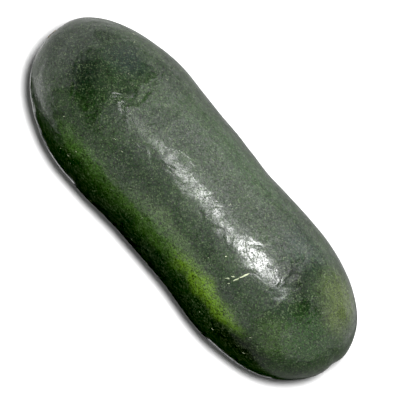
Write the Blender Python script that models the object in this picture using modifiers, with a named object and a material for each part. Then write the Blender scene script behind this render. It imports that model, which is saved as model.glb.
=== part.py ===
"""A whole winter melon (wax gourd), picked and lying on its side.

It grew as one piece, so it is one closed body: a long gourd with a slight waist, a round
dome at each end, a corky stem scar in a shallow hollow at -X and a small blossom scar at
+X. Two small flats under its bulges are what it rests on. Metres, +Z up, with the origin
on the ground under the middle of its box.
"""

import math

import bpy
import numpy as np

# Driving dimensions in metres: the length over the rims of the two end hollows, then the
# places along the gourd from its middle and the radii out from its axis.
LENGTH = 0.559
STEM_BULGE_X = -0.1294
STEM_BULGE_RADIUS = 0.1020
WAIST_X = 0.0262
WAIST_RADIUS = 0.0972
BLOSSOM_BULGE_X = 0.1236
BLOSSOM_BULGE_RADIUS = 0.1006

# Each dome is a superellipse: its power along the axis and its power across it.
STEM_DOME_POWERS = (1.83, 2.33)
BLOSSOM_DOME_POWERS = (2.39, 2.03)

# Each end reaches this much further out on its +Y shoulder and less on its -Y one, as the
# fruit grew slightly lopsided.
STEM_END_TILT = 0.0026
BLOSSOM_END_TILT = 0.0024

# A shallow furrow runs up over the blossom end: its depth, half width, and place in Y.
FURROW_DEPTH = 0.0017
FURROW_WIDTH = 0.0080
FURROW_Y = -0.0023

# The hollow at each pole, and the scar standing in it.
STEM_HOLLOW_DEPTH = 0.0020
STEM_HOLLOW_WIDTH = 0.0140
STEM_SCAR_RADIUS = 0.0085
STEM_SCAR_HEIGHT = 0.0020
STEM_SCAR_RIDGES = 5
STEM_SCAR_RIDGE_SHARE = 0.09
BLOSSOM_HOLLOW_DEPTH = 0.0035
BLOSSOM_HOLLOW_WIDTH = 0.0130
BLOSSOM_SCAR_RADIUS = 0.0050
BLOSSOM_SCAR_HEIGHT = 0.0010

# A scar's side slopes from its rim to its foot at this multiple of its radius.
SCAR_FOOT = 1.20
# Rings of points on a scar and its hollow, as multiples of the scar's radius.
SCAR_RINGS = (0.45, 0.92, 1.04, SCAR_FOOT, 1.60)

# The cross-section is very slightly three-sided, as the fruit has three carpels.
CARPELS = 3
CARPEL_SWELL = 0.0007
# Slow swells of the rind: waves along the length, waves round it, turn, and height.
RIND_SWELLS = (
    (2.0, 1, 6.20, 0.00061),
    (4.5, 2, 4.47, 0.00044),
    (5.5, 3, 4.10, 0.00030),
)

# How far the bulges are flattened where the gourd's weight rests on them.
RESTING_FLAT_DEPTH = 0.0012
GROUND_BLOCK_HEIGHT = 0.020
GROUND_BLOCK_MARGIN = 0.040

# How finely the solid is faceted.
STEPS_AROUND = 72
DOME_STEPS = 14
FLANK_STEPS = 18
DENSE_SAMPLES = 400
REACH_ROUNDS = 4
MERGE_DISTANCE = 0.00001
SMOOTH_ANGLE = math.radians(30.0)

# Finish of the rind, as linear red, green and blue.
RIND_COLOUR = (0.051, 0.085, 0.036, 1.0)
RIND_ROUGHNESS = 0.38


def clear_scene():
    """Remove every object, so that the file can be run again."""
    for thing in list(bpy.data.objects):
        bpy.data.objects.remove(thing, do_unlink=True)


def new_collection(name):
    """Return a new collection under the scene."""
    collection = bpy.data.collections.new(name)
    bpy.context.scene.collection.children.link(collection)
    return collection


def ease(share):
    """Go smoothly from 0 to 1 as share does."""
    share = np.clip(share, 0.0, 1.0)
    return (1.0 - np.cos(np.pi * share)) / 2.0


def flank_radius(along):
    """Return the radius between the two bulges: a long easing in to the waist and out."""
    to_waist = ease((along - STEM_BULGE_X) / (WAIST_X - STEM_BULGE_X))
    to_bulge = ease((along - WAIST_X) / (BLOSSOM_BULGE_X - WAIST_X))
    narrowing = (WAIST_RADIUS - STEM_BULGE_RADIUS) * to_waist
    widening = (BLOSSOM_BULGE_RADIUS - WAIST_RADIUS) * to_bulge
    return STEM_BULGE_RADIUS + narrowing + widening


def dome_height(out, reach, radius, powers, hollow, scar):
    """Return how far a dome stands past its bulge, at a distance out from the axis.

    reach is the dome's length and radius its width, hollow is the depth and width of the
    dip at its pole, and scar is the radius and height of the scar in that dip.
    """
    power_along, power_across = powers
    hollow_depth, hollow_width = hollow
    scar_radius, scar_height = scar
    across = np.clip(out / radius, 0.0, 1.0) ** power_across
    shell = reach * (1.0 - across) ** (1.0 / power_along)
    dip = hollow_depth * np.exp(-((out / hollow_width) ** 2))
    foot = (SCAR_FOOT * scar_radius - out) / ((SCAR_FOOT - 1.0) * scar_radius)
    return shell - dip + scar_height * ease(foot)


def dome_reach(length, radius, powers, hollow, scar):
    """Return the reach that puts the rim of a dome's hollow at length past its bulge."""
    out = np.linspace(0.0, radius, DENSE_SAMPLES)
    reach = length
    for _ in range(REACH_ROUNDS):
        reach += length - dome_height(out, reach, radius, powers, hollow, scar).max()
    return reach


def dome_outline(length, radius, powers, hollow, scar):
    """Return a dome's outline as pairs of radius and height, from its pole to its bulge."""
    reach = dome_reach(length, radius, powers, hollow, scar)
    scar_radius = scar[0]
    inner = np.array([0.0] + [ring * scar_radius for ring in SCAR_RINGS])
    # The sine packs the samples where the dome turns steeply down to its bulge.
    turn = np.linspace(math.asin(inner[-1] / radius), math.pi / 2.0, DENSE_SAMPLES)
    dense_out = radius * np.sin(turn)
    dense_up = dome_height(dense_out, reach, radius, powers, hollow, scar)
    run = np.hypot(np.diff(dense_out), np.diff(dense_up))
    arc = np.concatenate(([0.0], np.cumsum(run)))
    even = np.linspace(0.0, arc[-1], DOME_STEPS + 1)[1:]
    out = np.concatenate((inner, np.interp(even, arc, dense_out)))
    up = dome_height(out, reach, radius, powers, hollow, scar)
    return list(zip(out, up))


def gourd_outline():
    """Return the turned outline, from the blossom pole down its outer side to the stem."""
    blossom = dome_outline(
        LENGTH / 2.0 - BLOSSOM_BULGE_X,
        BLOSSOM_BULGE_RADIUS,
        BLOSSOM_DOME_POWERS,
        (BLOSSOM_HOLLOW_DEPTH, BLOSSOM_HOLLOW_WIDTH),
        (BLOSSOM_SCAR_RADIUS, BLOSSOM_SCAR_HEIGHT),
    )
    stem = dome_outline(
        LENGTH / 2.0 + STEM_BULGE_X,
        STEM_BULGE_RADIUS,
        STEM_DOME_POWERS,
        (STEM_HOLLOW_DEPTH, STEM_HOLLOW_WIDTH),
        (STEM_SCAR_RADIUS, STEM_SCAR_HEIGHT),
    )
    flank_stations = np.linspace(BLOSSOM_BULGE_X, STEM_BULGE_X, FLANK_STEPS + 1)[1:-1]
    upper = [(out, BLOSSOM_BULGE_X + up) for out, up in blossom]
    flank = [(flank_radius(along), along) for along in flank_stations]
    lower = [(out, STEM_BULGE_X - up) for out, up in reversed(stem)]
    return upper + flank + lower


def turned_mesh(outline, guides):
    """Spin the outline round the gourd's axis, which is Z here, and return the mesh."""
    profile = bpy.data.meshes.new("gourd_outline")
    points = [(float(out), 0.0, float(up)) for out, up in outline]
    links = [(i, i + 1) for i in range(len(points) - 1)]
    profile.from_pydata(points, links, [])
    turned = bpy.data.objects.new("gourd_outline", profile)
    guides.objects.link(turned)
    screw = turned.modifiers.new("turn", "SCREW")
    screw.axis = "Z"
    screw.angle = math.tau
    screw.steps = STEPS_AROUND
    screw.render_steps = STEPS_AROUND
    screw.use_merge_vertices = True
    screw.merge_threshold = MERGE_DISTANCE
    evaluated = turned.evaluated_get(bpy.context.evaluated_depsgraph_get())
    mesh = bpy.data.meshes.new_from_object(evaluated)
    bpy.data.objects.remove(turned, do_unlink=True)
    bpy.data.meshes.remove(profile)
    return mesh


def swollen_out(along, turn, out):
    """Return how far out from the axis the uneven rind stands at a place on it."""
    share = min(1.0, out / STEM_BULGE_RADIUS)
    swell = CARPEL_SWELL * math.cos(CARPELS * turn)
    for waves_along, waves_round, start, height in RIND_SWELLS:
        phase = math.tau * waves_along * along / LENGTH + waves_round * turn + start
        swell += height * math.sin(phase)
    grown = out + swell * share ** 2
    if along < 0.0 and out < STEM_SCAR_RADIUS * SCAR_FOOT:
        grown *= 1.0 + STEM_SCAR_RIDGE_SHARE * math.cos(STEM_SCAR_RIDGES * turn)
    return grown


def end_shift(along, y, out):
    """Return how far a point on a dome moves along the axis, by its tilt and its furrow."""
    if STEM_BULGE_X < along < BLOSSOM_BULGE_X:
        return 0.0
    side = y / max(out, MERGE_DISTANCE)
    if along < 0.0:
        return -STEM_END_TILT * side * math.sin(math.pi * out / STEM_BULGE_RADIUS)
    share = min(1.0, out / BLOSSOM_BULGE_RADIUS)
    furrow = FURROW_DEPTH * math.exp(-(((y - FURROW_Y) / FURROW_WIDTH) ** 2))
    return BLOSSOM_END_TILT * side * math.sin(math.pi * share) - furrow * (1.0 - share ** 2)


def grow(mesh):
    """Give the turned mesh the slight unevenness that the fruit grew with."""
    for vertex in mesh.vertices:
        x, y, along = vertex.co
        out = math.hypot(x, y)
        stretch = 1.0
        if out > 0.0:
            stretch = swollen_out(along, math.atan2(y, x), out) / out
        vertex.co = (x * stretch, y * stretch, along + end_shift(along, y, out))


def lay_down(mesh):
    """Turn the axis from Z to X, and set both bulges into the ground by the flats' depth."""
    points = np.array([vertex.co for vertex in mesh.vertices])
    laid = np.column_stack((points[:, 2], points[:, 1], -points[:, 0]))
    halves = (laid[laid[:, 0] < WAIST_X], laid[laid[:, 0] >= WAIST_X])
    stem_low, blossom_low = (half[half[:, 2].argmin()] for half in halves)
    # A fifth of a degree, small enough to slide the points up and down instead of turning.
    slope = (blossom_low[2] - stem_low[2]) / (blossom_low[0] - stem_low[0])
    laid[:, 2] -= slope * laid[:, 0]
    middle = (laid.min(axis=0) + laid.max(axis=0)) / 2.0
    middle[2] = laid[:, 2].min() + RESTING_FLAT_DEPTH
    laid -= middle
    for vertex, point in zip(mesh.vertices, laid):
        vertex.co = point


def rind_material():
    """Return the waxy dark green rind."""
    material = bpy.data.materials.new("waxy_green_rind")
    material.use_nodes = True
    shader = material.node_tree.nodes["Principled BSDF"]
    shader.inputs["Base Color"].default_value = RIND_COLOUR
    shader.inputs["Roughness"].default_value = RIND_ROUGHNESS
    shader.inputs["Metallic"].default_value = 0.0
    return material


def ground_block(cutters):
    """Return the block under the ground plane that the resting flats are cut against."""
    bpy.ops.mesh.primitive_cube_add(size=1.0, location=(0.0, 0.0, 0.0))
    block = bpy.context.active_object
    block.name = "ground_block"
    span = LENGTH + GROUND_BLOCK_MARGIN
    width = 2.0 * STEM_BULGE_RADIUS + GROUND_BLOCK_MARGIN
    for vertex in block.data.vertices:
        x, y, z = vertex.co
        vertex.co = (x * span, y * width, (z - 0.5) * GROUND_BLOCK_HEIGHT)
    for holder in list(block.users_collection):
        holder.objects.unlink(block)
    cutters.objects.link(block)
    block.hide_render = True
    block.display_type = "WIRE"
    return block


def build():
    """Build the winter melon."""
    clear_scene()
    parts = new_collection("winter melon")
    cutters = new_collection("cutters")
    mesh = turned_mesh(gourd_outline(), cutters)
    mesh.name = "winter_melon"
    grow(mesh)
    lay_down(mesh)
    mesh.shade_smooth()
    mesh.set_sharp_from_angle(angle=SMOOTH_ANGLE)
    mesh.materials.append(rind_material())
    melon = bpy.data.objects.new("winter_melon", mesh)
    parts.objects.link(melon)
    flats = melon.modifiers.new("resting_flats", "BOOLEAN")
    flats.operation = "DIFFERENCE"
    flats.solver = "EXACT"
    flats.object = ground_block(cutters)


build()
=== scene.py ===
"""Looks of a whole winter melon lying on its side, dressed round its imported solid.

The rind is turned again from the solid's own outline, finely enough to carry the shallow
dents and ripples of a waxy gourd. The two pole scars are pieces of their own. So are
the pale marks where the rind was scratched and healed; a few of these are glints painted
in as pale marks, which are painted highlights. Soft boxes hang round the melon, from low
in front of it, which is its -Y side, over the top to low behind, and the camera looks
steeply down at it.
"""

import logging
import math
from collections.abc import Iterable
from dataclasses import dataclass, field
from enum import Enum
from random import Random
from typing import Any

import bmesh
import bpy
import numpy as np
from bmesh.types import BMesh
from bpy.types import AreaLight, Collection, Material, Node, NodeSocket, NodeTree, Object
from mathutils import Matrix, Vector, noise
from mathutils.bvhtree import BVHTree


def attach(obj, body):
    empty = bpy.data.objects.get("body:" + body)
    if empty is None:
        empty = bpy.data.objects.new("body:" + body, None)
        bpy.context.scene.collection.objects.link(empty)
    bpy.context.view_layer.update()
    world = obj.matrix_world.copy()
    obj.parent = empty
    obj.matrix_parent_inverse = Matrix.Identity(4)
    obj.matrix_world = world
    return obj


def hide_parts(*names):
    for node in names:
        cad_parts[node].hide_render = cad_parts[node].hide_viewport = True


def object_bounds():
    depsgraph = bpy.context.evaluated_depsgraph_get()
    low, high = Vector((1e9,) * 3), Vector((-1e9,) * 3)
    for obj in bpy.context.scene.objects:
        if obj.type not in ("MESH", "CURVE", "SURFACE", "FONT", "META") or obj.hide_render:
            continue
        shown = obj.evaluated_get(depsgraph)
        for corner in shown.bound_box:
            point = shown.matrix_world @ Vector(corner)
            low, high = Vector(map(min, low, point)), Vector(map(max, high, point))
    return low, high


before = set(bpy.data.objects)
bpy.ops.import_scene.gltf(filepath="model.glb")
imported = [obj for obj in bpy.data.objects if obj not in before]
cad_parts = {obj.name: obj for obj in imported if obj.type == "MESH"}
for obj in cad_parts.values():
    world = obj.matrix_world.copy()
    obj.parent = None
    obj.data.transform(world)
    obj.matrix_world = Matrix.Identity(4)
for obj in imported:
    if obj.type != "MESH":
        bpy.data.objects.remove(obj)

LOG = logging.getLogger("winter_melon")
Pair = tuple[float, float]
Triple = tuple[float, float, float]
Rgba = tuple[float, float, float, float]
NODE = "winter_melon"
BODY = "root"
CAD_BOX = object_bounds()
# The height of the middle of the melon's box.
AXIS_HEIGHT = (CAD_BOX[0][2] + CAD_BOX[1][2]) / 2.0
MIDDLE = Vector((0.0, 0.0, AXIS_HEIGHT))

MERGE_DISTANCE = 0.000002
# The sRGB curve is straight up to its toe, and a power above it.
SRGB_TOE, SRGB_SLOPE, SRGB_OFFSET, SRGB_POWER = 0.04045, 12.92, 0.055, 2.4
# The power that gives a flat lamp of 1 square metre a brightness of 1.
LAMP_POWER = 4.0
# Input and output places of a Mix node that mixes colours.
MIX_FACTOR, MIX_A, MIX_B, MIX_RESULT = 0, 6, 7, 2


class End(Enum):
    """The two ends of the gourd, by the sign of X."""

    STEM = -1
    BLOSSOM = 1


def linear(hex_colour: str) -> Rgba:
    """Turn an sRGB hex colour into the linear colour that a shader reads.

    Args:
        hex_colour: Six hex digits, such as "1f3a14".

    Returns:
        Linear red, green, blue and an alpha of 1.
    """
    shares = [int(hex_colour[i:i + 2], 16) / 255.0 for i in (0, 2, 4)]
    red, green, blue = (
        share / SRGB_SLOPE if share <= SRGB_TOE
        else ((share + SRGB_OFFSET) / (1.0 + SRGB_OFFSET)) ** SRGB_POWER
        for share in shares
    )
    return (red, green, blue, 1.0)


def per_metre(millimetres: float) -> float:
    """Return the texture scale whose pattern repeats about every so many millimetres."""
    return 1000.0 / millimetres


def ease(share: np.ndarray) -> np.ndarray:
    """Go smoothly from 0 to 1 as share does."""
    return (1.0 - np.cos(np.pi * np.clip(share, 0.0, 1.0))) / 2.0


def add_node(
    tree: NodeTree,
    kind: str,
    inputs: dict[int | str, Any] | None = None,
    out: int | str = 0,
    **settings: Any,
) -> NodeSocket:
    """Add one node, set it up, link it, and hand back one of its outputs.

    Args:
        tree: The node tree that gets the node.
        kind: The node's type, such as "ShaderNodeMath".
        inputs: A value, or a socket to link from, for each input by place or name.
        out: The place or name of the output to return.
        **settings: Properties of the node, such as operation="ADD".

    Returns:
        The output socket named by out.
    """
    node = tree.nodes.new(kind)
    for name, value in settings.items():
        setattr(node, name, value)
    for name, value in (inputs or {}).items():
        if isinstance(value, NodeSocket):
            tree.links.new(value, node.inputs[name])
        else:
            node.inputs[name].default_value = value
    return node.outputs[out]


def new_material(name: str) -> tuple[Material, Node]:
    """Make a material with one Principled shader.

    Args:
        name: The material's name.

    Returns:
        The material and its Principled node.
    """
    material = bpy.data.materials.new(name)
    material.use_nodes = True
    return material, material.node_tree.nodes["Principled BSDF"]


def show(thing: Object) -> None:
    """Put an object in the scene."""
    bpy.context.scene.collection.objects.link(thing)


def turn_round_x(bm: BMesh, outline: Iterable[Pair], steps: int) -> None:
    """Turn an outline round the X axis into a closed skin.

    Args:
        bm: The empty bmesh that gets the skin.
        outline: Pairs of place along X and radius, from pole to pole.
        steps: How many steps go round.
    """
    chain = [bm.verts.new((x, 0.0, radius)) for x, radius in outline]
    links = [bm.edges.new(pair) for pair in zip(chain[:-1], chain[1:])]
    bmesh.ops.spin(
        bm, geom=chain + links, cent=(0.0, 0.0, 0.0), axis=(1.0, 0.0, 0.0),
        angle=math.tau, steps=steps, use_merge=True,
    )
    bmesh.ops.remove_doubles(bm, verts=bm.verts, dist=MERGE_DISTANCE)
    bmesh.ops.recalc_face_normals(bm, faces=bm.faces)


def add_lamp(data: AreaLight, place: Matrix, lit: Collection) -> None:
    """Hang a lamp that the camera doesn't see.

    Args:
        data: The lamp, whose name its object takes.
        place: Where it hangs and how it is turned.
        lit: What it lights.
    """
    lamp = bpy.data.objects.new(data.name, data)
    lamp.matrix_world = place
    lamp.visible_camera = False
    lamp.light_linking.receiver_collection = lit
    show(lamp)


def mesh_piece(name: str, bm: BMesh, material: Material) -> Object:
    """Turn a bmesh into a smooth object of the melon that rides on its one body.

    Args:
        name: The piece's name.
        bm: Its shape, in place, which is freed.
        material: Its finish.

    Returns:
        The new object.
    """
    mesh = bpy.data.meshes.new(name)
    bm.to_mesh(mesh)
    bm.free()
    mesh.shade_smooth()
    mesh.materials.append(material)
    piece = bpy.data.objects.new(name, mesh)
    show(piece)
    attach(piece, BODY)
    LOG.info("%s: %d faces", name, len(mesh.polygons))
    return piece


@dataclass(frozen=True)
class Dome:
    """One end of the gourd: a superellipse with a shallow hollow and a scar at its pole.

    Every size is in metres, as in the solid's own outline.
    """

    end: End
    bulge_x: float
    radius: float
    power_along: float
    power_across: float
    hollow_depth: float
    hollow_width: float
    scar_radius: float
    scar_height: float
    length: float
    scar_foot: float = 1.20
    reach_rounds: int = 4
    dense: int = 400

    def height(self, out: np.ndarray, reach: float) -> np.ndarray:
        """Return how far the dome stands past its bulge.

        Args:
            out: Distances from the axis.
            reach: The dome's length, as if it had no hollow.

        Returns:
            The height at each distance.
        """
        across = np.clip(out / self.radius, 0.0, 1.0) ** self.power_across
        shell = reach * (1.0 - across) ** (1.0 / self.power_along)
        dip = self.hollow_depth * np.exp(-((out / self.hollow_width) ** 2))
        foot = (self.scar_foot * self.scar_radius - out) / ((self.scar_foot - 1.0) * self.scar_radius)
        return shell - dip + self.scar_height * ease(foot)

    @property
    def reach(self) -> float:
        """Find the dome's length without its hollow, which puts the rim at the gourd's end.

        Returns:
            The length in metres.
        """
        out = np.linspace(0.0, self.radius, self.dense)
        reach = self.length
        for _ in range(self.reach_rounds):
            reach += self.length - self.height(out, reach).max()
        return reach

    def along(self, out: np.ndarray) -> np.ndarray:
        """Return the place along the gourd at each distance out from the axis."""
        return self.bulge_x + self.end.value * self.height(out, self.reach)

    def outline(self) -> np.ndarray:
        """Return pairs of place along the gourd and radius, from the pole to the bulge."""
        out = self.radius * np.sin(np.linspace(0.0, math.pi / 2.0, self.dense))
        return np.column_stack((self.along(out), out))


@dataclass
class GourdForm:
    """The form that the solid was turned to, from the same driving dimensions.

    The length, radii, places, dome powers, tilts and furrow are rounded from a fit of this
    outline to the photograph's.
    """

    length: float = 0.559
    stem_bulge_x: float = -0.1294
    stem_radius: float = 0.1020
    waist_x: float = 0.0262
    waist_radius: float = 0.0972
    blossom_bulge_x: float = 0.1236
    blossom_radius: float = 0.1006
    stem_tilt: float = 0.0026
    blossom_tilt: float = 0.0024
    furrow_depth: float = 0.0017
    furrow_width: float = 0.0080
    furrow_y: float = -0.0023
    carpels: int = 3
    carpel_swell: float = 0.0007
    # Waves along the length, waves round it, turn, and height. These rows come from a
    # least-squares search on the photograph's outline.
    swells: tuple[tuple[float, int, float, float], ...] = (
        (2.0, 1, 6.20, 0.00061),
        (4.5, 2, 4.47, 0.00044),
        (5.5, 3, 4.10, 0.00030),
    )
    flat_depth: float = 0.0012
    dense: int = 400
    slope: float = 0.0
    shift: np.ndarray = field(default_factory=lambda: np.zeros(3))

    def __post_init__(self) -> None:
        """Make both domes, and find how the grown gourd lies on the ground."""
        self.stem = Dome(
            End.STEM, self.stem_bulge_x, self.stem_radius, power_along=1.83, power_across=2.33,
            hollow_depth=0.0020, hollow_width=0.0140, scar_radius=0.0085, scar_height=0.0020,
            length=self.length / 2.0 + self.stem_bulge_x,
        )
        self.blossom = Dome(
            End.BLOSSOM, self.blossom_bulge_x, self.blossom_radius,
            power_along=2.39, power_across=2.03,
            hollow_depth=0.0035, hollow_width=0.0130, scar_radius=0.0050, scar_height=0.0010,
            length=self.length / 2.0 - self.blossom_bulge_x,
        )
        along, radius = self.outline(self.dense).T
        turns = np.linspace(0.0, math.tau, self.dense)[:, None]
        rings = (along + 0.0 * turns, radius * np.sin(turns), -radius * np.cos(turns))
        grown = self.grow(np.column_stack([part.ravel() for part in rings]))
        halves = (grown[grown[:, 0] < self.waist_x], grown[grown[:, 0] >= self.waist_x])
        stem_low, blossom_low = (half[half[:, 2].argmin()] for half in halves)
        self.slope = (blossom_low[2] - stem_low[2]) / (blossom_low[0] - stem_low[0])
        grown[:, 2] -= self.slope * grown[:, 0]
        self.shift = -(grown.min(axis=0) + grown.max(axis=0)) / 2.0
        self.shift[2] = -grown[:, 2].min() - self.flat_depth

    def flank(self) -> np.ndarray:
        """Work out the outline between the two bulges, from the blossom's to the stem's.

        Returns:
            Pairs of place along the gourd and radius.
        """
        along = np.linspace(self.blossom_bulge_x, self.stem_bulge_x, self.dense)
        to_waist = ease((along - self.stem_bulge_x) / (self.waist_x - self.stem_bulge_x))
        to_bulge = ease((along - self.waist_x) / (self.blossom_bulge_x - self.waist_x))
        radius = self.stem_radius + (self.waist_radius - self.stem_radius) * to_waist
        radius += (self.blossom_radius - self.waist_radius) * to_bulge
        return np.column_stack((along, radius))

    def outline(self, count: int) -> np.ndarray:
        """Return the whole outline, evenly spaced, from the blossom pole to the stem pole.

        Args:
            count: How many points to give.

        Returns:
            Pairs of place along the gourd and radius.
        """
        points = np.vstack((self.blossom.outline(), self.flank()[1:-1], self.stem.outline()[::-1]))
        run = np.hypot(*np.diff(points, axis=0).T)
        arc = np.concatenate(([0.0], np.cumsum(run)))
        even = np.linspace(0.0, arc[-1], count)
        return np.column_stack([np.interp(even, arc, points[:, i]) for i in (0, 1)])

    def radius_at(self, x: float) -> float:
        """Return the outline's radius at a place along the gourd."""
        points = self.outline(self.dense)[::-1]
        return float(np.interp(x, points[:, 0], points[:, 1]))

    def grow(self, points: np.ndarray) -> np.ndarray:
        """Give turned points the unevenness that the solid has.

        Args:
            points: Points round the X axis.

        Returns:
            The same points, swollen, and with both ends tilted and the furrow pressed in.
        """
        along, y, z = points.T
        out = np.hypot(y, z)
        # The solid was turned round Z and laid down, so its turns start at -Z here.
        turn = np.arctan2(y, -z)
        swell = self.carpel_swell * np.cos(self.carpels * turn)
        for waves_along, waves_round, start, height in self.swells:
            phase = math.tau * waves_along * along / self.length + waves_round * turn + start
            swell = swell + height * np.sin(phase)
        share = np.minimum(1.0, out / self.stem_radius)
        stretch = 1.0 + swell * share ** 2 / np.maximum(out, MERGE_DISTANCE)
        side = y / np.maximum(out, MERGE_DISTANCE)
        stem_shift = -self.stem_tilt * side * np.sin(np.pi * out / self.stem_radius)
        share = np.minimum(1.0, out / self.blossom_radius)
        furrow = self.furrow_depth * np.exp(-(((y - self.furrow_y) / self.furrow_width) ** 2))
        blossom_shift = self.blossom_tilt * side * np.sin(np.pi * share) - furrow * (1.0 - share ** 2)
        moved = along + np.where(along <= self.stem_bulge_x, stem_shift, 0.0)
        moved += np.where(along >= self.blossom_bulge_x, blossom_shift, 0.0)
        return np.column_stack((moved, y * stretch, z * stretch))

    def lay(self, points: np.ndarray) -> np.ndarray:
        """Grow turned points and lay them down where the solid lies.

        Args:
            points: Points round the X axis.

        Returns:
            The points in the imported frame.
        """
        grown = self.grow(points)
        grown[:, 2] -= self.slope * grown[:, 0]
        return grown + self.shift

    def middle_height(self) -> float:
        """Return how high the gourd's axis lies over the ground at its middle."""
        return float(self.shift[2])


@dataclass(frozen=True)
class Blotch:
    """A soft patch of another colour, by where it lies on the gourd.

    x and turn place it: metres from the middle, and degrees from the top towards +Y.
    """

    x: float
    turn: float
    length: float
    width: float
    colour: str
    strength: float


@dataclass(frozen=True)
class WaxyRind:
    """Wax gourd rind, grown, mature and dark.

    A thin clear wax over green skin gives a satin haze from the whole sky and a sharper
    streak from a lamp. Under it the colour is a fine stipple of pale bloom on near-black
    green, with yellower patches, and with painted shade: near-black patches along the low
    near side, which gets little light.
    """

    form: GourdForm
    deep: str = "12320c"
    middle: str = "264418"
    bloom: str = "8ea474"
    dot: str = "8fa37c"
    pit: str = "070a03"
    ior: float = 1.42
    # Smoothest and roughest.
    roughness: Pair = (0.26, 0.36)
    coat_weight: float = 0.45
    coat_roughness: float = 0.15
    cloud_mm: float = 42.0
    mottle_mm: float = 9.0
    # The real stipple is under 1 mm, drawn as coarse as the picture can show.
    grain_mm: float = 1.25
    # How rare strong bloom is, and its thinnest and thickest.
    bloom_power: float = 6.0
    bloom_range: Pair = (0.14, 0.44)
    pit_mm: float = 1.3
    pit_power: float = 1.2
    pit_strength: float = 0.95
    # A dot's edge and core are shares of the dots' spacing.
    dot_mm: float = 10.0
    dot_edge: float = 0.16
    dot_core: float = 0.06
    dot_strength: float = 0.22
    wrinkle_mm: float = 20.0
    wrinkle_height: float = 0.0010
    smudge_mm: float = 22.0
    # Metres between the wax's cells and the bloom's, so that the two don't line up.
    wax_shift: Triple = (0.31, 0.17, 0.23)
    # How slowly and how far, in metres, the patches' outlines wander.
    warp_mm: float = 30.0
    warp_reach: float = 0.035
    # How deep a patch reaches in metres, and the share of it that fades.
    patch_depth: float = 0.06
    patch_fade: float = 0.85
    blotches: tuple[Blotch, ...] = ()
    # Patches rubbed to a better shine, or dulled by handling, with no colour of their own.
    rubbed: tuple[Blotch, ...] = (
        Blotch(0.096, -6.0, 0.13, 0.10, "", 0.8),
        Blotch(-0.050, -8.0, 0.10, 0.10, "", -0.55),
        Blotch(0.138, -14.0, 0.06, 0.05, "", -0.70),
    )

    def material(self) -> Material:
        """Build the rind's material.

        Returns:
            The material.
        """
        material, shader = new_material("waxy_rind")
        tree = material.node_tree
        place = add_node(tree, "ShaderNodeTexCoord", out="Object")
        cloud = add_node(
            tree, "ShaderNodeTexNoise",
            {"Vector": place, "Scale": per_metre(self.cloud_mm), "Detail": 5.0, "Roughness": 0.6},
        )
        mottle = add_node(
            tree, "ShaderNodeTexNoise",
            {"Vector": place, "Scale": per_metre(self.mottle_mm), "Detail": 3.0},
        )
        depth = add_node(
            tree, "ShaderNodeMapRange",
            {"Value": cloud, "From Min": 0.35, "From Max": 0.65},
            interpolation_type="SMOOTHSTEP",
        )
        skin = add_node(
            tree, "ShaderNodeMix",
            {MIX_FACTOR: depth, MIX_A: linear(self.deep), MIX_B: linear(self.middle)},
            MIX_RESULT, data_type="RGBA",
        )
        skin = self.add_blotches(tree, place, skin)
        skin = self.add_grain(tree, place, skin, mottle)
        tree.links.new(skin, shader.inputs["Base Color"])
        rough = add_node(
            tree, "ShaderNodeMapRange",
            {"Value": mottle, "From Min": 0.3, "From Max": 0.7,
             "To Min": self.roughness[0], "To Max": self.roughness[1]},
        )
        tree.links.new(rough, shader.inputs["Roughness"])
        relief = self.relief(tree, place)
        tree.links.new(relief, shader.inputs["Normal"])
        tree.links.new(relief, shader.inputs["Coat Normal"])
        tree.links.new(self.wax(tree, place), shader.inputs["Coat Weight"])
        shader.inputs["IOR"].default_value = self.ior
        shader.inputs["Coat Roughness"].default_value = self.coat_roughness
        return material

    def mask(self, tree: NodeTree, place: NodeSocket, blotch: Blotch) -> NodeSocket:
        """Return how strongly a blotch shows, fading out from its middle.

        Args:
            tree: The material's nodes.
            place: The coordinates to use.
            blotch: The patch.

        Returns:
            A value from 0 to the blotch's strength.
        """
        turn = math.radians(blotch.turn)
        radius = self.form.radius_at(blotch.x)
        height = self.form.middle_height() + radius * math.cos(turn)
        local = add_node(
            tree, "ShaderNodeMapping",
            {"Vector": place, "Location": (blotch.x, radius * math.sin(turn), height),
             "Rotation": (-turn, 0.0, 0.0),
             "Scale": (blotch.length / 2.0, blotch.width / 2.0, self.patch_depth)},
            vector_type="TEXTURE",
        )
        ball = add_node(tree, "ShaderNodeTexGradient", {"Vector": local}, "Fac", gradient_type="SPHERICAL")
        return add_node(
            tree, "ShaderNodeMapRange",
            {"Value": ball, "From Min": 0.0, "From Max": self.patch_fade,
             "To Max": blotch.strength},
            interpolation_type="SMOOTHSTEP",
        )

    def add_blotches(self, tree: NodeTree, place: NodeSocket, skin: NodeSocket) -> NodeSocket:
        """Mix each blotch into the skin's colour.

        Args:
            tree: The material's nodes.
            place: The object coordinates.
            skin: The colour so far.

        Returns:
            The colour with the blotches.
        """
        warp = add_node(
            tree, "ShaderNodeTexNoise",
            {"Vector": place, "Scale": per_metre(self.warp_mm), "Detail": 2.5}, "Color",
        )
        bent = add_node(tree, "ShaderNodeVectorMath", {0: warp, 1: (0.5, 0.5, 0.5)}, operation="SUBTRACT")
        bent = add_node(
            tree, "ShaderNodeVectorMath",
            {0: bent, 1: (self.warp_reach,) * 3, 2: place}, operation="MULTIPLY_ADD",
        )
        for blotch in self.blotches:
            skin = add_node(
                tree, "ShaderNodeMix",
                {MIX_FACTOR: self.mask(tree, bent, blotch), MIX_A: skin,
                 MIX_B: linear(blotch.colour)},
                MIX_RESULT, data_type="RGBA",
            )
        return skin

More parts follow.
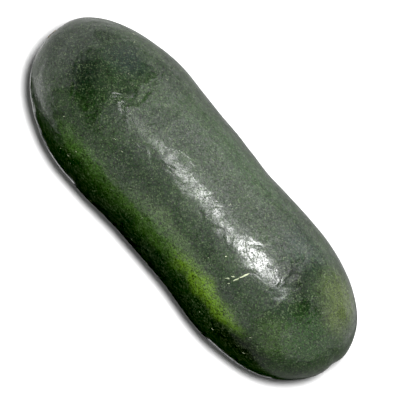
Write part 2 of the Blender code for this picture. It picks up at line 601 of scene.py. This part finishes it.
    def cells(self, tree: NodeTree, place: NodeSocket, size_mm: float, power: float) -> NodeSocket:
        """Give every small cell of the skin a random value, mostly low.

        Args:
            tree: The material's nodes.
            place: The object coordinates.
            size_mm: The cells' size.
            power: How rare the high values are.

        Returns:
            The value, from 0 to 1.
        """
        colour = add_node(
            tree, "ShaderNodeTexVoronoi",
            {"Vector": place, "Scale": per_metre(size_mm)}, "Color",
        )
        value = add_node(tree, "ShaderNodeSeparateColor", {0: colour}, "Red")
        return add_node(tree, "ShaderNodeMath", {0: value, 1: power}, operation="POWER")

    def add_grain(
        self, tree: NodeTree, place: NodeSocket, skin: NodeSocket, mottle: NodeSocket,
    ) -> NodeSocket:
        """Stipple the skin with dark pits, pale bloom and a few larger dots.

        Args:
            tree: The material's nodes.
            place: The object coordinates.
            skin: The colour so far.
            mottle: A slow noise that thickens and thins the bloom.

        Returns:
            The stippled colour.
        """
        pits = add_node(
            tree, "ShaderNodeMath",
            {0: self.cells(tree, place, self.pit_mm, self.pit_power), 1: self.pit_strength},
            operation="MULTIPLY",
        )
        skin = add_node(
            tree, "ShaderNodeMix",
            {MIX_FACTOR: pits, MIX_A: skin, MIX_B: linear(self.pit)},
            MIX_RESULT, data_type="RGBA",
        )
        thick = add_node(
            tree, "ShaderNodeMapRange",
            {"Value": mottle, "From Min": 0.3, "From Max": 0.7,
             "To Min": self.bloom_range[0], "To Max": self.bloom_range[1]},
        )
        bloom = add_node(
            tree, "ShaderNodeMath",
            {0: self.cells(tree, place, self.grain_mm, self.bloom_power), 1: thick},
            operation="MULTIPLY",
        )
        skin = add_node(
            tree, "ShaderNodeMix",
            {MIX_FACTOR: bloom, MIX_A: skin, MIX_B: linear(self.bloom)},
            MIX_RESULT, data_type="RGBA",
        )
        near_dot = add_node(
            tree, "ShaderNodeTexVoronoi",
            {"Vector": place, "Scale": per_metre(self.dot_mm)}, "Distance",
        )
        dots = add_node(
            tree, "ShaderNodeMapRange",
            {"Value": near_dot, "From Min": self.dot_edge, "From Max": self.dot_core,
             "To Max": self.dot_strength},
            interpolation_type="SMOOTHSTEP",
        )
        return add_node(
            tree, "ShaderNodeMix",
            {MIX_FACTOR: dots, MIX_A: skin, MIX_B: linear(self.dot)},
            MIX_RESULT, data_type="RGBA",
        )

    def wax(self, tree: NodeTree, place: NodeSocket) -> NodeSocket:
        """Return the coat's weight, uneven from pore to pore, smudged and rubbed by handling.

        Args:
            tree: The material's nodes.
            place: The object coordinates.

        Returns:
            The weight.
        """
        shifted = add_node(tree, "ShaderNodeVectorMath", {0: place, 1: self.wax_shift}, operation="ADD")
        # Pores go from none to twice the coat's weight, so that they average it.
        pores = add_node(
            tree, "ShaderNodeMapRange",
            {"Value": self.cells(tree, shifted, self.grain_mm, 1.0), "From Min": 0.2,
             "From Max": 0.8, "To Min": 0.0, "To Max": self.coat_weight * 2.0},
        )
        smudge = add_node(
            tree, "ShaderNodeTexNoise",
            {"Vector": shifted, "Scale": per_metre(self.smudge_mm), "Detail": 4.0,
             "Roughness": 0.65, "Distortion": 1.0},
        )
        handled = add_node(
            tree, "ShaderNodeMapRange",
            {"Value": smudge, "From Min": 0.3, "From Max": 0.7, "To Min": 0.7, "To Max": 1.3},
        )
        polish = 1.0
        for patch in self.rubbed:
            polish = add_node(
                tree, "ShaderNodeMath", {0: self.mask(tree, place, patch), 1: polish}, operation="ADD",
            )
        handled = add_node(tree, "ShaderNodeMath", {0: handled, 1: polish}, operation="MULTIPLY")
        return add_node(tree, "ShaderNodeMath", {0: pores, 1: handled}, operation="MULTIPLY")

    def relief(self, tree: NodeTree, place: NodeSocket) -> NodeSocket:
        """Bump the wax's fine wrinkles, which break up the lamp's streak.

        Args:
            tree: The material's nodes.
            place: The object coordinates.

        Returns:
            The bumped normal.
        """
        wrinkles = add_node(
            tree, "ShaderNodeTexNoise",
            {"Vector": place, "Scale": per_metre(self.wrinkle_mm), "Detail": 3.0,
             "Roughness": 0.35, "Distortion": 1.2},
        )
        return add_node(
            tree, "ShaderNodeBump",
            {"Height": wrinkles, "Distance": self.wrinkle_height, "Strength": 1.0},
        )


@dataclass(frozen=True)
class CorkScar:
    """Cork over the cut stalk, grown and dried, matt and cracked."""

    name: str = "dry_cork"
    pale: str = "9a8a63"
    dark: str = "4a3a22"
    grain_mm: float = 1.6
    grain_height: float = 0.0004
    roughness: float = 0.85

    def material(self) -> Material:
        """Build the cork's material, whose dark cracks make it look old and dry.

        Returns:
            The material.
        """
        material, shader = new_material(self.name)
        tree = material.node_tree
        place = add_node(tree, "ShaderNodeTexCoord", out="Object")
        grain = add_node(
            tree, "ShaderNodeTexNoise",
            {"Vector": place, "Scale": per_metre(self.grain_mm), "Detail": 5.0, "Roughness": 0.7},
        )
        mask = add_node(
            tree, "ShaderNodeMapRange",
            {"Value": grain, "From Min": 0.38, "From Max": 0.60}, interpolation_type="SMOOTHSTEP",
        )
        colour = add_node(
            tree, "ShaderNodeMix",
            {MIX_FACTOR: mask, MIX_A: linear(self.dark), MIX_B: linear(self.pale)},
            MIX_RESULT, data_type="RGBA",
        )
        tree.links.new(colour, shader.inputs["Base Color"])
        bump = add_node(
            tree, "ShaderNodeBump",
            {"Height": grain, "Distance": self.grain_height, "Strength": 0.8},
        )
        tree.links.new(bump, shader.inputs["Normal"])
        shader.inputs["Roughness"].default_value = self.roughness
        return material


@dataclass(frozen=True)
class PaleScarAndGlint:
    """Scar tissue where the rind was scratched and healed, dry and pale, a little rough to the light. It
    also colours a few pale marks that are painted highlights for glints.
    """

    pale: str = "e2e8c4"
    green: str = "a8b98e"
    patch_mm: float = 2.5
    roughness: float = 0.55

    def material(self) -> Material:
        """Build the pale marks' material, patchy so that a mark looks broken up.

        Returns:
            The material.
        """
        material, shader = new_material("pale_scar_and_painted_glint")
        tree = material.node_tree
        place = add_node(tree, "ShaderNodeTexCoord", out="Object")
        patch = add_node(tree, "ShaderNodeTexNoise", {"Vector": place, "Scale": per_metre(self.patch_mm)})
        mask = add_node(tree, "ShaderNodeMapRange", {"Value": patch, "From Min": 0.35, "From Max": 0.6})
        colour = add_node(
            tree, "ShaderNodeMix",
            {MIX_FACTOR: mask, MIX_A: linear(self.green), MIX_B: linear(self.pale)},
            MIX_RESULT, data_type="RGBA",
        )
        tree.links.new(colour, shader.inputs["Base Color"])
        shader.inputs["Roughness"].default_value = self.roughness
        return material


@dataclass(frozen=True)
class Dent:
    """A shallow dent where the growing fruit lay against something.

    x and turn place it: metres from the middle, and degrees from the top towards +Y.
    """

    x: float
    turn: float
    half_length: float
    half_width: float
    depth: float

    def depth_at(self, along: np.ndarray, turn: np.ndarray, radius: np.ndarray) -> np.ndarray:
        """Return how deep the dent is at places on the gourd.

        Args:
            along: Their places along the gourd.
            turn: Their turns in radians from the top towards +Y.
            radius: Their distances from the axis.

        Returns:
            The depth at each place in metres.
        """
        round_it = (turn - math.radians(self.turn)) * radius / self.half_width
        return self.depth * np.exp(-(((along - self.x) / self.half_length) ** 2) - round_it ** 2)


@dataclass
class Rind:
    """The whole outside of the melon, turned from its outline and then made uneven."""

    form: GourdForm
    finish: WaxyRind
    stations: int = 290
    steps: int = 320
    # Size of each kind of unevenness in millimetres, and its height in metres.
    ripples: tuple[Pair, ...] = ((60.0, 0.0006), (28.0, 0.0005), (12.0, 0.00012))
    dents: tuple[Dent, ...] = ()
    # Longer than from the axis to any part of the skin.
    ray_length: float = 0.3
    shape: BVHTree | None = None

    def build(self) -> BMesh:
        """Turn the outline round the gourd's axis, and give the skin its relief.

        Returns:
            The closed skin, in place.
        """
        bm = bmesh.new()
        turn_round_x(bm, self.form.outline(self.stations), self.steps)
        laid = self.form.lay(np.array([vert.co for vert in bm.verts]))
        for vert, point in zip(bm.verts, laid):
            vert.co = point
        bm.normal_update()
        for vert, height in zip(bm.verts, self.relief(laid)):
            vert.co += vert.normal * height
            vert.co.z = max(vert.co.z, 0.0)
        self.shape = BVHTree.FromBMesh(bm)
        return bm

    def relief(self, points: np.ndarray) -> np.ndarray:
        """Return how far the skin stands out at each point.

        Args:
            points: Points of the skin before its relief.

        Returns:
            The height at each point in metres, less than 0 in a dent.
        """
        height = np.zeros(len(points))
        for wide, high in self.ripples:
            scale = per_metre(wide)
            height += high * np.array([noise.noise(Vector(point) * scale) for point in points])
        up = points[:, 2] - self.form.middle_height()
        radius, turn = np.hypot(points[:, 1], up), np.arctan2(points[:, 1], up)
        for dent in self.dents:
            height -= dent.depth_at(points[:, 0], turn, radius)
        return height

    def touch(self, x: float, turn: float) -> tuple[Vector, Vector]:
        """Find the skin at a place along the melon and a turn from its top.

        Args:
            x: Metres from the middle.
            turn: Radians from the top towards +Y.

        Returns:
            The point on the skin and its normal.
        """
        out = Vector((0.0, math.sin(turn), math.cos(turn)))
        axis = Vector((x, 0.0, self.form.middle_height()))
        point, normal, _, _ = self.shape.ray_cast(axis + out * self.ray_length, -out)
        return point, normal

    def dress(self) -> None:
        """Make the rind's object, which stands for the solid."""
        piece = mesh_piece("rind", self.build(), self.finish.material())
        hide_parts(NODE)


@dataclass
class PoleScar:
    """A dry scar on one pole: a closed cap with rings, lobes and cracks."""

    name: str
    form: GourdForm
    dome: Dome
    finish: CorkScar
    lobes: int
    lobe_share: float
    rim_share: float = 1.12
    thickness: float = 0.0016
    lift: float = 0.0003
    ring_height: float = 0.0003
    ring_count: float = 3.0
    crack_depth: float = 0.0004
    crack_mm: float = 2.2
    # How square the cap's edge is.
    edge_power: int = 8
    rings: int = 22
    steps: int = 96

    def build(self) -> BMesh:
        """Turn the cap round the axis, and shape its top.

        Returns:
            The closed body, in place.
        """
        bm = bmesh.new()
        rim = self.dome.scar_radius * self.rim_share
        inward = -self.dome.end.value * self.thickness
        top = [(0.0, out) for out in np.linspace(0.0, rim, self.rings)]
        turn_round_x(bm, top + [(inward, rim), (inward, 0.0)], self.steps)
        points = np.array([vert.co for vert in bm.verts])
        is_top = np.abs(points[:, 0]) < self.thickness / 2.0
        out = np.hypot(points[:, 1], points[:, 2])
        turn = np.arctan2(points[:, 1], -points[:, 2])
        raised = np.array([self.relief(o, t, rim) for o, t in zip(out, turn)])
        height = np.where(is_top, raised, 0.0)
        points[:, 0] += self.dome.along(out) + self.dome.end.value * height
        points[:, 1:] *= (1.0 + self.lobe_share * np.cos(self.lobes * turn))[:, None]
        for vert, point in zip(bm.verts, self.form.lay(points)):
            vert.co = point
        return bm

    def relief(self, out: float, turn: float, rim: float) -> float:
        """Return how far the cap stands over the rind.

        Args:
            out: Distance from the axis in metres.
            turn: Angle round the axis.
            rim: The cap's own radius.

        Returns:
            The height in metres, which sinks under the rind at the rim.
        """
        share = out / rim
        place = Vector((math.cos(turn) * out, math.sin(turn) * out, 0.0))
        crack = abs(noise.noise(place * per_metre(self.crack_mm)))
        ring = self.ring_height * math.cos(math.tau * self.ring_count * share)
        edge = math.sqrt(max(0.0, 1.0 - share ** self.edge_power))
        body = self.lift + ring - self.crack_depth * (0.5 - crack)
        sunk = self.thickness / 4.0
        return (body + sunk) * edge - sunk

    def dress(self) -> None:
        """Make the scar's object."""
        mesh_piece(self.name, self.build(), self.finish.material())


@dataclass(frozen=True)
class PaleMark:
    """One pale mark from one place on the rind to another. Most are healed scrapes and nicks; a few are
    glints painted in as pale marks, which are painted highlights.

    Each place is metres along the melon and degrees from its top towards +Y.
    """

    start: Pair
    stop: Pair
    width: float
    wander: float = 0.0


@dataclass
class ScratchesAndGlints:
    """Thin pale ridges where the growing rind was scratched and healed, and a few pale marks that are
    painted highlights for glints.
    """

    rind: Rind
    finish: PaleScarAndGlint
    scratches_and_glints: tuple[PaleMark, ...]
    nicks: int = 46
    nick_length: Pair = (0.0016, 0.0050)
    nick_width: float = 0.0009
    # The nicks' furthest place along and turn from the top, and their shares of the width.
    nick_x: float = 0.24
    nick_turn: float = 130.0
    nick_shares: Pair = (0.6, 1.3)
    seed: int = 7
    segments: int = 14
    rows: int = 4
    ridge: float = 0.00022
    sunk: float = 0.0002
    # Bends and swellings along a scratch, its least width, and what swelling adds to that.
    bends: float = 5.0
    swellings: float = 9.0
    least_share: float = 0.6
    swell_share: float = 0.6
    # These take each scratch to its own part of the noise.
    width_step: float = 9000.0
    place_step: float = 90.0
    swell_row: float = 3.0

    def ribbon(self, bm: BMesh, mark: PaleMark) -> None:
        """Lay one tapered ridge on the rind.

        Args:
            bm: The bmesh that gets it.
            mark: Where it runs.
        """
        made = bmesh.ops.create_grid(bm, x_segments=self.segments, y_segments=self.rows, size=0.5)
        ends = [self.rind.touch(x, math.radians(turn))[0] for x, turn in (mark.start, mark.stop)]
        run = ends[1] - ends[0]
        for vert in made["verts"]:
            share, side = vert.co.x + 0.5, vert.co.y * 2.0
            taper = math.sqrt(max(0.0, math.sin(math.pi * min(max(share, 0.0), 1.0))))
            middle = ends[0] + run * share
            spot, normal, _, _ = self.rind.shape.find_nearest(middle)
            across = normal.cross(run).normalized()
            bend = Vector((share * self.bends, mark.width * self.width_step, 0.0))
            drift = mark.wander * noise.noise(bend)
            swell = Vector((share * self.swellings, self.swell_row, mark.start[0] * self.place_step))
            uneven = self.least_share + self.swell_share * abs(noise.noise(swell))
            wide = mark.width * taper * uneven / 2.0
            spot, normal, _, _ = self.rind.shape.find_nearest(spot + across * (drift + side * wide))
            crown = (1.0 - side ** 2) * taper
            vert.co = spot + normal * (self.ridge * crown - self.sunk * (1.0 - crown))

    def build(self) -> BMesh:
        """Lay the healed marks and the painted glints seen in the photograph, and small nicks all over the
        rind.

        Returns:
            All of them in one bmesh, in place.
        """
        bm = bmesh.new()
        for mark in self.scratches_and_glints:
            self.ribbon(bm, mark)
        draw = Random(self.seed)
        for _ in range(self.nicks):
            x = draw.uniform(-self.nick_x, self.nick_x)
            turn = draw.uniform(-self.nick_turn, self.nick_turn)
            length, lean = draw.uniform(*self.nick_length), draw.uniform(0.0, math.tau)
            swing = math.degrees(length * math.sin(lean) / self.rind.form.radius_at(x))
            end = (x + length * math.cos(lean), turn + swing)
            self.ribbon(bm, PaleMark((x, turn), end, self.nick_width * draw.uniform(*self.nick_shares)))
        return bm

    def dress(self) -> None:
        """Make one object of every mark, with the painted glints among them."""
        mesh_piece("scratches_and_painted_glints", self.build(), self.finish.material())


@dataclass(frozen=True)
class SoftBox:
    """A flat soft lamp: one corner, its two edges from there, and its brightness."""

    name: str
    corner: Triple
    length: Triple
    width: Triple
    light: float
    colour: Triple = (1.0, 1.0, 1.0)

    @classmethod
    def arched(
        cls, name: str, angles: Pair, ends: Pair, light: float,
        distance: float = 1.6, colour: Triple = (1.0, 1.0, 1.0),
    ) -> "SoftBox":
        """Make a lamp along the melon from the angle that it spans about the melon's axis.

        Args:
            name: The lamp's name.
            angles: Degrees from the near horizon, -Y, over the top to the far one.
            ends: Where it starts and stops along X.
            light: Its brightness.
            distance: From the axis to its long edges.
            colour: Its colour.

        Returns:
            The lamp.
        """
        near, far = (
            Vector((ends[0], -math.cos(turn) * distance, AXIS_HEIGHT + math.sin(turn) * distance))
            for turn in map(math.radians, angles)
        )
        return cls(name, tuple(near), (ends[1] - ends[0], 0.0, 0.0), tuple(far - near), light, colour)

    def hang(self, lit: Collection) -> None:
        """Hang the lamp so that it faces the melon.

        Args:
            lit: What it lights.
        """
        length, width = Vector(self.length), Vector(self.width)
        middle = Vector(self.corner) + (length + width) / 2.0
        away = length.cross(width).normalized()
        if away.dot(middle - MIDDLE) < 0.0:
            away.negate()
        side = length.normalized()
        turn = Matrix((side, away.cross(side), away)).transposed()
        data = bpy.data.lights.new(self.name, "AREA")
        data.shape = "RECTANGLE"
        data.size = length.length
        data.size_y = width.length
        data.energy = LAMP_POWER * self.light * data.size * data.size_y
        data.color = self.colour
        add_lamp(data, Matrix.Translation(middle) @ turn.to_4x4(), lit)


@dataclass
class Studio:
    """A plain pale floor, soft boxes round the melon and the camera."""

    pieces: list[Object]
    boxes: tuple[SoftBox, ...]
    elevation: float = 75.0
    roll: float = 49.55
    distance: float = 2.4
    sensor: float = 36.0
    picture: float = 400.0
    metres_per_pixel: float = 0.0012895
    # Where the middle of the melon's box lies in the photograph, in pixels.
    middle_x: float = 190.95
    middle_y: float = 199.74
    floor_radius: float = 0.58
    floor_sides: int = 96
    floor_colour: str = "f2f2f2"
    floor_lamp_elevation: float = 82.3
    floor_lamp_distance: float = 1.95
    floor_lamp_x: float = 0.02
    floor_lamp_width: float = 0.33
    floor_light: float = 4.6
    floor_fill: float = 0.22
    near_fill_elevation: float = 60.0
    far_fill_elevation: float = 120.0
    black_level: float = 0.006

    def camera(self) -> None:
        """Look down at the melon square to its length, rolled as in the photograph."""
        tilt = math.radians(self.elevation)
        roll = math.radians(self.roll)
        back = Vector((0.0, -math.cos(tilt), math.sin(tilt)))
        far = Vector((0.0, math.sin(tilt), math.cos(tilt)))
        length = Vector((1.0, 0.0, 0.0))
        right = length * math.cos(roll) + far * math.sin(roll)
        up = far * math.cos(roll) - length * math.sin(roll)
        # A pixel's own middle is a whole number, so the picture's is half a pixel less.
        half = self.picture / 2.0 - 0.5
        target = MIDDLE + right * (half - self.middle_x) * self.metres_per_pixel
        target += up * (self.middle_y - half) * self.metres_per_pixel
        data = bpy.data.cameras.new("camera")
        data.sensor_width = self.sensor
        data.lens = self.sensor * self.distance / (self.picture * self.metres_per_pixel)
        camera = bpy.data.objects.new("camera", data)
        turn = Matrix((right, up, back)).transposed()
        camera.matrix_world = Matrix.Translation(target + back * self.distance) @ turn.to_4x4()
        show(camera)
        bpy.context.scene.camera = camera

    def floor(self) -> Object:
        """Lay the pale floor, which throws no light back at the melon.

        Returns:
            The floor.
        """
        bm = bmesh.new()
        bmesh.ops.create_circle(bm, cap_ends=True, segments=self.floor_sides, radius=self.floor_radius)
        mesh = bpy.data.meshes.new("floor")
        bm.to_mesh(mesh)
        bm.free()
        material, shader = new_material("matt_pale_board")
        shader.inputs["Base Color"].default_value = linear(self.floor_colour)
        shader.inputs["Roughness"].default_value = 0.9
        shader.inputs["Specular IOR Level"].default_value = 0.0
        mesh.materials.append(material)
        floor = bpy.data.objects.new("floor", mesh)
        floor.visible_glossy = False
        floor.visible_diffuse = False
        show(floor)
        return floor

    def sky(self) -> None:
        """Show white past the floor, and light nothing with it."""
        world = bpy.data.worlds.new("white_paper")
        world.use_nodes = True
        tree = world.node_tree
        seen = add_node(tree, "ShaderNodeLightPath", out="Is Camera Ray")
        tree.links.new(seen, tree.nodes["Background"].inputs["Strength"])
        tree.nodes["Background"].inputs["Color"].default_value = linear("ffffff")
        bpy.context.scene.world = world

    def floor_lamp(self, floor: Object, name: str, elevation: float, strength: float) -> None:
        """Light only the floor with one round lamp.

        Args:
            floor: The floor.
            name: The lamp's name.
            elevation: The lamp's height above the horizon, in degrees.
            strength: How much light reaches the floor.
        """
        lit = bpy.data.collections.new(f"lit_by_{name}")
        lit.objects.link(floor)
        high = math.radians(elevation)
        data = bpy.data.lights.new(name, "AREA")
        data.shape = "DISK"
        data.size = self.floor_lamp_width
        # The floor stays as bright at any distance.
        data.energy = LAMP_POWER * strength * self.floor_lamp_distance ** 2
        away = Vector((0.0, -math.cos(high), math.sin(high)))
        place = away * self.floor_lamp_distance + Vector((self.floor_lamp_x, 0.0, 0.0))
        turn = away.to_track_quat("Z", "Y").to_matrix()
        add_lamp(data, Matrix.Translation(place) @ turn.to_4x4(), lit)

    def light(self) -> None:
        """Hang every lamp, and set how the picture is developed."""
        self.sky()
        floor = self.floor()
        self.floor_lamp(floor, "floor_lamp", self.floor_lamp_elevation, self.floor_light)
        self.floor_lamp(floor, "near_fill", self.near_fill_elevation, self.floor_fill)
        self.floor_lamp(floor, "far_fill", self.far_fill_elevation, self.floor_fill)
        lit = bpy.data.collections.new("lit_melon")
        for piece in self.pieces:
            lit.objects.link(piece)
        for box in self.boxes:
            box.hang(lit)
            LOG.info("lamp %s hung", box.name)
        settings = bpy.context.scene.view_settings
        settings.view_transform = "Standard"
        settings.use_curve_mapping = True
        settings.curve_mapping.black_level = (self.black_level,) * 3


def main() -> None:
    """Build and dress the melon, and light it."""
    logging.basicConfig(level=logging.INFO, format="%(message)s")
    form = GourdForm()
    # Place along, turn, length, width, colour and strength.
    blotches = (
        # The first two are painted shade: near-black patches along the low near side, which gets little
        # light.
        Blotch(0.000, -86.0, 0.62, 0.105, "1d2922", 0.95),
        Blotch(0.172, -63.0, 0.17, 0.070, "060c08", 0.85),
        Blotch(0.010, -42.0, 0.20, 0.036, "5e7848", 0.75),
        Blotch(0.020, -53.0, 0.42, 0.046, "4a6e2c", 0.85),
        Blotch(0.096, -51.5, 0.18, 0.044, "769f28", 1.0),
        Blotch(-0.138, -53.0, 0.14, 0.040, "4f7533", 0.9),
        Blotch(0.200, -34.0, 0.09, 0.070, "456428", 0.8),
        Blotch(0.225, -18.0, 0.12, 0.100, "205008", 0.6),
        Blotch(-0.207, -15.0, 0.10, 0.080, "0a2410", 0.95),
        Blotch(-0.186, 20.0, 0.08, 0.080, "16302a", 0.8),
        Blotch(0.155, 6.0, 0.09, 0.060, "041a06", 0.9),
        Blotch(0.140, 28.0, 0.11, 0.080, "14342e", 0.6),
        Blotch(0.222, 33.0, 0.12, 0.110, "66783a", 0.80),
        Blotch(-0.250, 0.0, 0.12, 0.180, "2c3a2e", 0.6),
        Blotch(0.015, 42.0, 0.24, 0.080, "42623a", 0.65),
        Blotch(-0.075, 30.0, 0.13, 0.060, "3c5a32", 0.5),
    )
    # Place along, turn, half length, half width and depth.
    dents = (
        Dent(0.100, -7.0, 0.042, 0.017, 0.00065),
        Dent(-0.030, 14.0, 0.030, 0.020, 0.00030),
        Dent(-0.165, 20.0, 0.022, 0.018, 0.00035),
    )
    rind = Rind(form, WaxyRind(form, blotches=blotches), dents=dents)
    rind.dress()
    PoleScar("stem_scar", form, form.stem, CorkScar(), 5, 0.09).dress()
    dry_blossom = CorkScar("dry_blossom_end", "8a7a52", "3a2d1a")
    PoleScar("blossom_scar", form, form.blossom, dry_blossom, 3, 0.04, ring_count=2.0).dress()
    # Where each starts and stops, its width, and how far it wanders.
    scratches_and_glints = (
        PaleMark((0.1162, -16.0), (0.1118, -25.2), 0.0040, 0.0004),
        PaleMark((0.1124, -24.2), (0.1095, -30.2), 0.0030, 0.0006),
        PaleMark((0.1075, -26.4), (0.1036, -28.8), 0.0022, 0.0006),
        PaleMark((0.1056, -30.2), (0.1006, -33.2), 0.0024, 0.0008),
        PaleMark((0.1098, -32.6), (0.1076, -34.2), 0.0018),
        PaleMark((0.0800, -22.6), (0.0816, -21.6), 0.0024),
        # The last four are pale marks painted in for small glints on the dark near side: painted
        # highlights.
        PaleMark((0.139, -72.0), (0.143, -71.0), 0.0020),
        PaleMark((0.187, -68.0), (0.191, -67.0), 0.0018),
        PaleMark((-0.141, -58.0), (-0.138, -57.0), 0.0016),
        PaleMark((-0.145, -67.0), (-0.141, -66.5), 0.0016),
    )
    ScratchesAndGlints(rind, PaleScarAndGlint(), scratches_and_glints).dress()
    stem_half, blossom_half, middle = (-0.62, 0.0), (0.0, 0.62), (-0.62, 0.62)
    stem_wing, blossom_wing = (-1.6, -0.62), (0.62, 1.6)
    # Of the 31 brightnesses here, 21 come from a least-squares fit to the photograph. Those
    # of near_stem_board, of the rim, corner and tip cards and of the last five lamps were
    # given one by one. First the angles about the melon's axis, the reach along X and the
    # brightness of each arch, and then the corner, both edges and brightness of each board.
    arches = (
        ("near_low_stem", (7.0, 35.0), stem_half, 0.68),
        ("near_low_blossom", (7.0, 35.0), blossom_half, 0.86),
        ("near_mid_stem", (35.0, 55.0), stem_half, 0.44),
        ("near_mid_blossom", (35.0, 55.0), blossom_half, 0.72),
        ("near_high", (55.0, 80.0), middle, 0.97),
        ("top_stem", (80.0, 160.0), (-0.34, 0.0), 1.69),
        ("top_blossom", (80.0, 120.0), (0.0, 0.42), 2.30),
        ("far_blossom", (120.0, 160.0), (0.0, 0.42), 2.05),
        ("far_low_stem", (160.0, 178.0), stem_half, 1.01),
        ("far_low_blossom", (160.0, 178.0), blossom_half, 1.14),
        ("low_stem_wing", (0.0, 35.0), stem_wing, 0.45),
        ("top_stem_wing", (80.0, 120.0), stem_wing, 0.30),
        ("far_stem_wing", (120.0, 178.0), stem_wing, 0.62),
        ("low_blossom_wing", (0.0, 80.0), blossom_wing, 0.50),
        ("far_blossom_wing", (120.0, 178.0), blossom_wing, 0.73),
    )
    boards = (
        ("stem_wall", (-1.6, -1.2, 0.02), (0.0, 2.4, 0.0), (0.0, 0.0, 1.08), 0.84),
        ("blossom_wall", (1.6, -1.2, 0.02), (0.0, 2.4, 0.0), (0.0, 0.0, 1.68), 0.73),
        ("far_card", (-1.6, 0.14, 0.004), (3.2, 0.0, 0.0), (0.0, 0.31, 0.0), 0.39),
        ("far_board", (-1.6, 0.45, 0.004), (3.2, 0.0, 0.0), (0.0, 1.60, 0.0), 0.77),
        ("stem_board", (-1.6, -0.35, 0.004), (1.29, 0.0, 0.0), (0.0, 0.70, 0.0), 0.50),
        ("near_stem_board", (-1.6, -1.2, 0.004), (1.0, 0.0, 0.0), (0.0, 0.85, 0.0), 1.05),
        ("blossom_board", (0.31, -1.2, 0.004), (1.29, 0.0, 0.0), (0.0, 1.55, 0.0), 0.20),
        ("stem_rim_card", (-0.12, -0.116, 0.004), (-0.12, 0.034, 0.0), (0.004, 0.014, 0.0), 0.9),
        ("stem_corner_card", (-0.60, -0.45, 0.004), (0.30, 0.0, 0.0), (0.0, 0.32, 0.0), 0.65),
        ("stem_tip_card", (-0.25, -0.10, 0.004), (-0.075, 0.115, 0.0), (0.016, 0.010, 0.0), 0.9),
        ("blossom_rim_card", (0.16, -0.112, 0.004), (0.10, 0.045, 0.0), (-0.006, 0.012, 0.0), 0.9),
    )
    boxes = (
        *(SoftBox.arched(*arch) for arch in arches),
        *(SoftBox(*board) for board in boards),
        SoftBox.arched("stem_lamp", (87.0, 93.5), (-0.33, -0.27), 18.0, distance=1.0),
        SoftBox.arched("strip_lamp", (85.0, 96.0), (-0.135, 0.0), 1.3, distance=1.0),
        SoftBox.arched("middle_lamp", (80.5, 96.0), (0.0, 0.06), 7.0, distance=1.0),
        SoftBox.arched("bright_lamp", (86.0, 99.0), (0.06, 0.25), 13.5, distance=1.0),
        SoftBox.arched("dim_lamp", (84.0, 97.0), (0.25, 0.36), 4.0, distance=1.0,
                       colour=(0.9, 0.95, 1.0)),
    )
    pieces = [thing for thing in bpy.context.scene.objects if thing.type == "MESH"]
    studio = Studio(pieces, boxes)
    studio.camera()
    studio.light()


if __name__ == "__main__":
    main()
